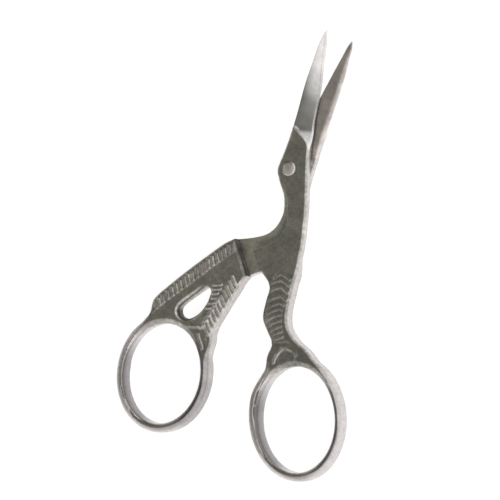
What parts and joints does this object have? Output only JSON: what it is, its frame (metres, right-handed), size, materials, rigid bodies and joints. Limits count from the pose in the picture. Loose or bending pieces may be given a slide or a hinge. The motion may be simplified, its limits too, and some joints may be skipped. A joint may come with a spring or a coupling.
{
  "type": "stork embroidery scissors",
  "caption": "Small embroidery scissors shaped like a stork: bill blades that open on the eye rivet, feathered wing, ribbed legs and a finger ring on each leg.",
  "frame": {"origin": "pivot axis at the resting plane, on the flush tail of the rivet", "axes": "+Z through the thickness from the back towards the front half's face, +Y towards the blade tips, +X towards the rear half's blade"},
  "size_m": [0.0509, 0.0882, 0.0041],
  "materials": {
    "front_half": "satin nickel-plated forged steel, polished blade",
    "rear_half": "satin nickel-plated forged steel, polished blade",
    "pivot_rivet": "polished steel"
  },
  "bodies": {
    "rear": {"rear_half": "rear_half", "pivot_rivet": "pivot_rivet"},
    "front": {"front_half": "front_half"}
  },
  "joints": [
    {"name": "pivot", "type": "hinge", "parent": "rear", "child": "front", "pos_m": [0, 0, 0.0018], "axis": [0, 0, 1], "range_deg": [-11.5, 65]}
  ]
}
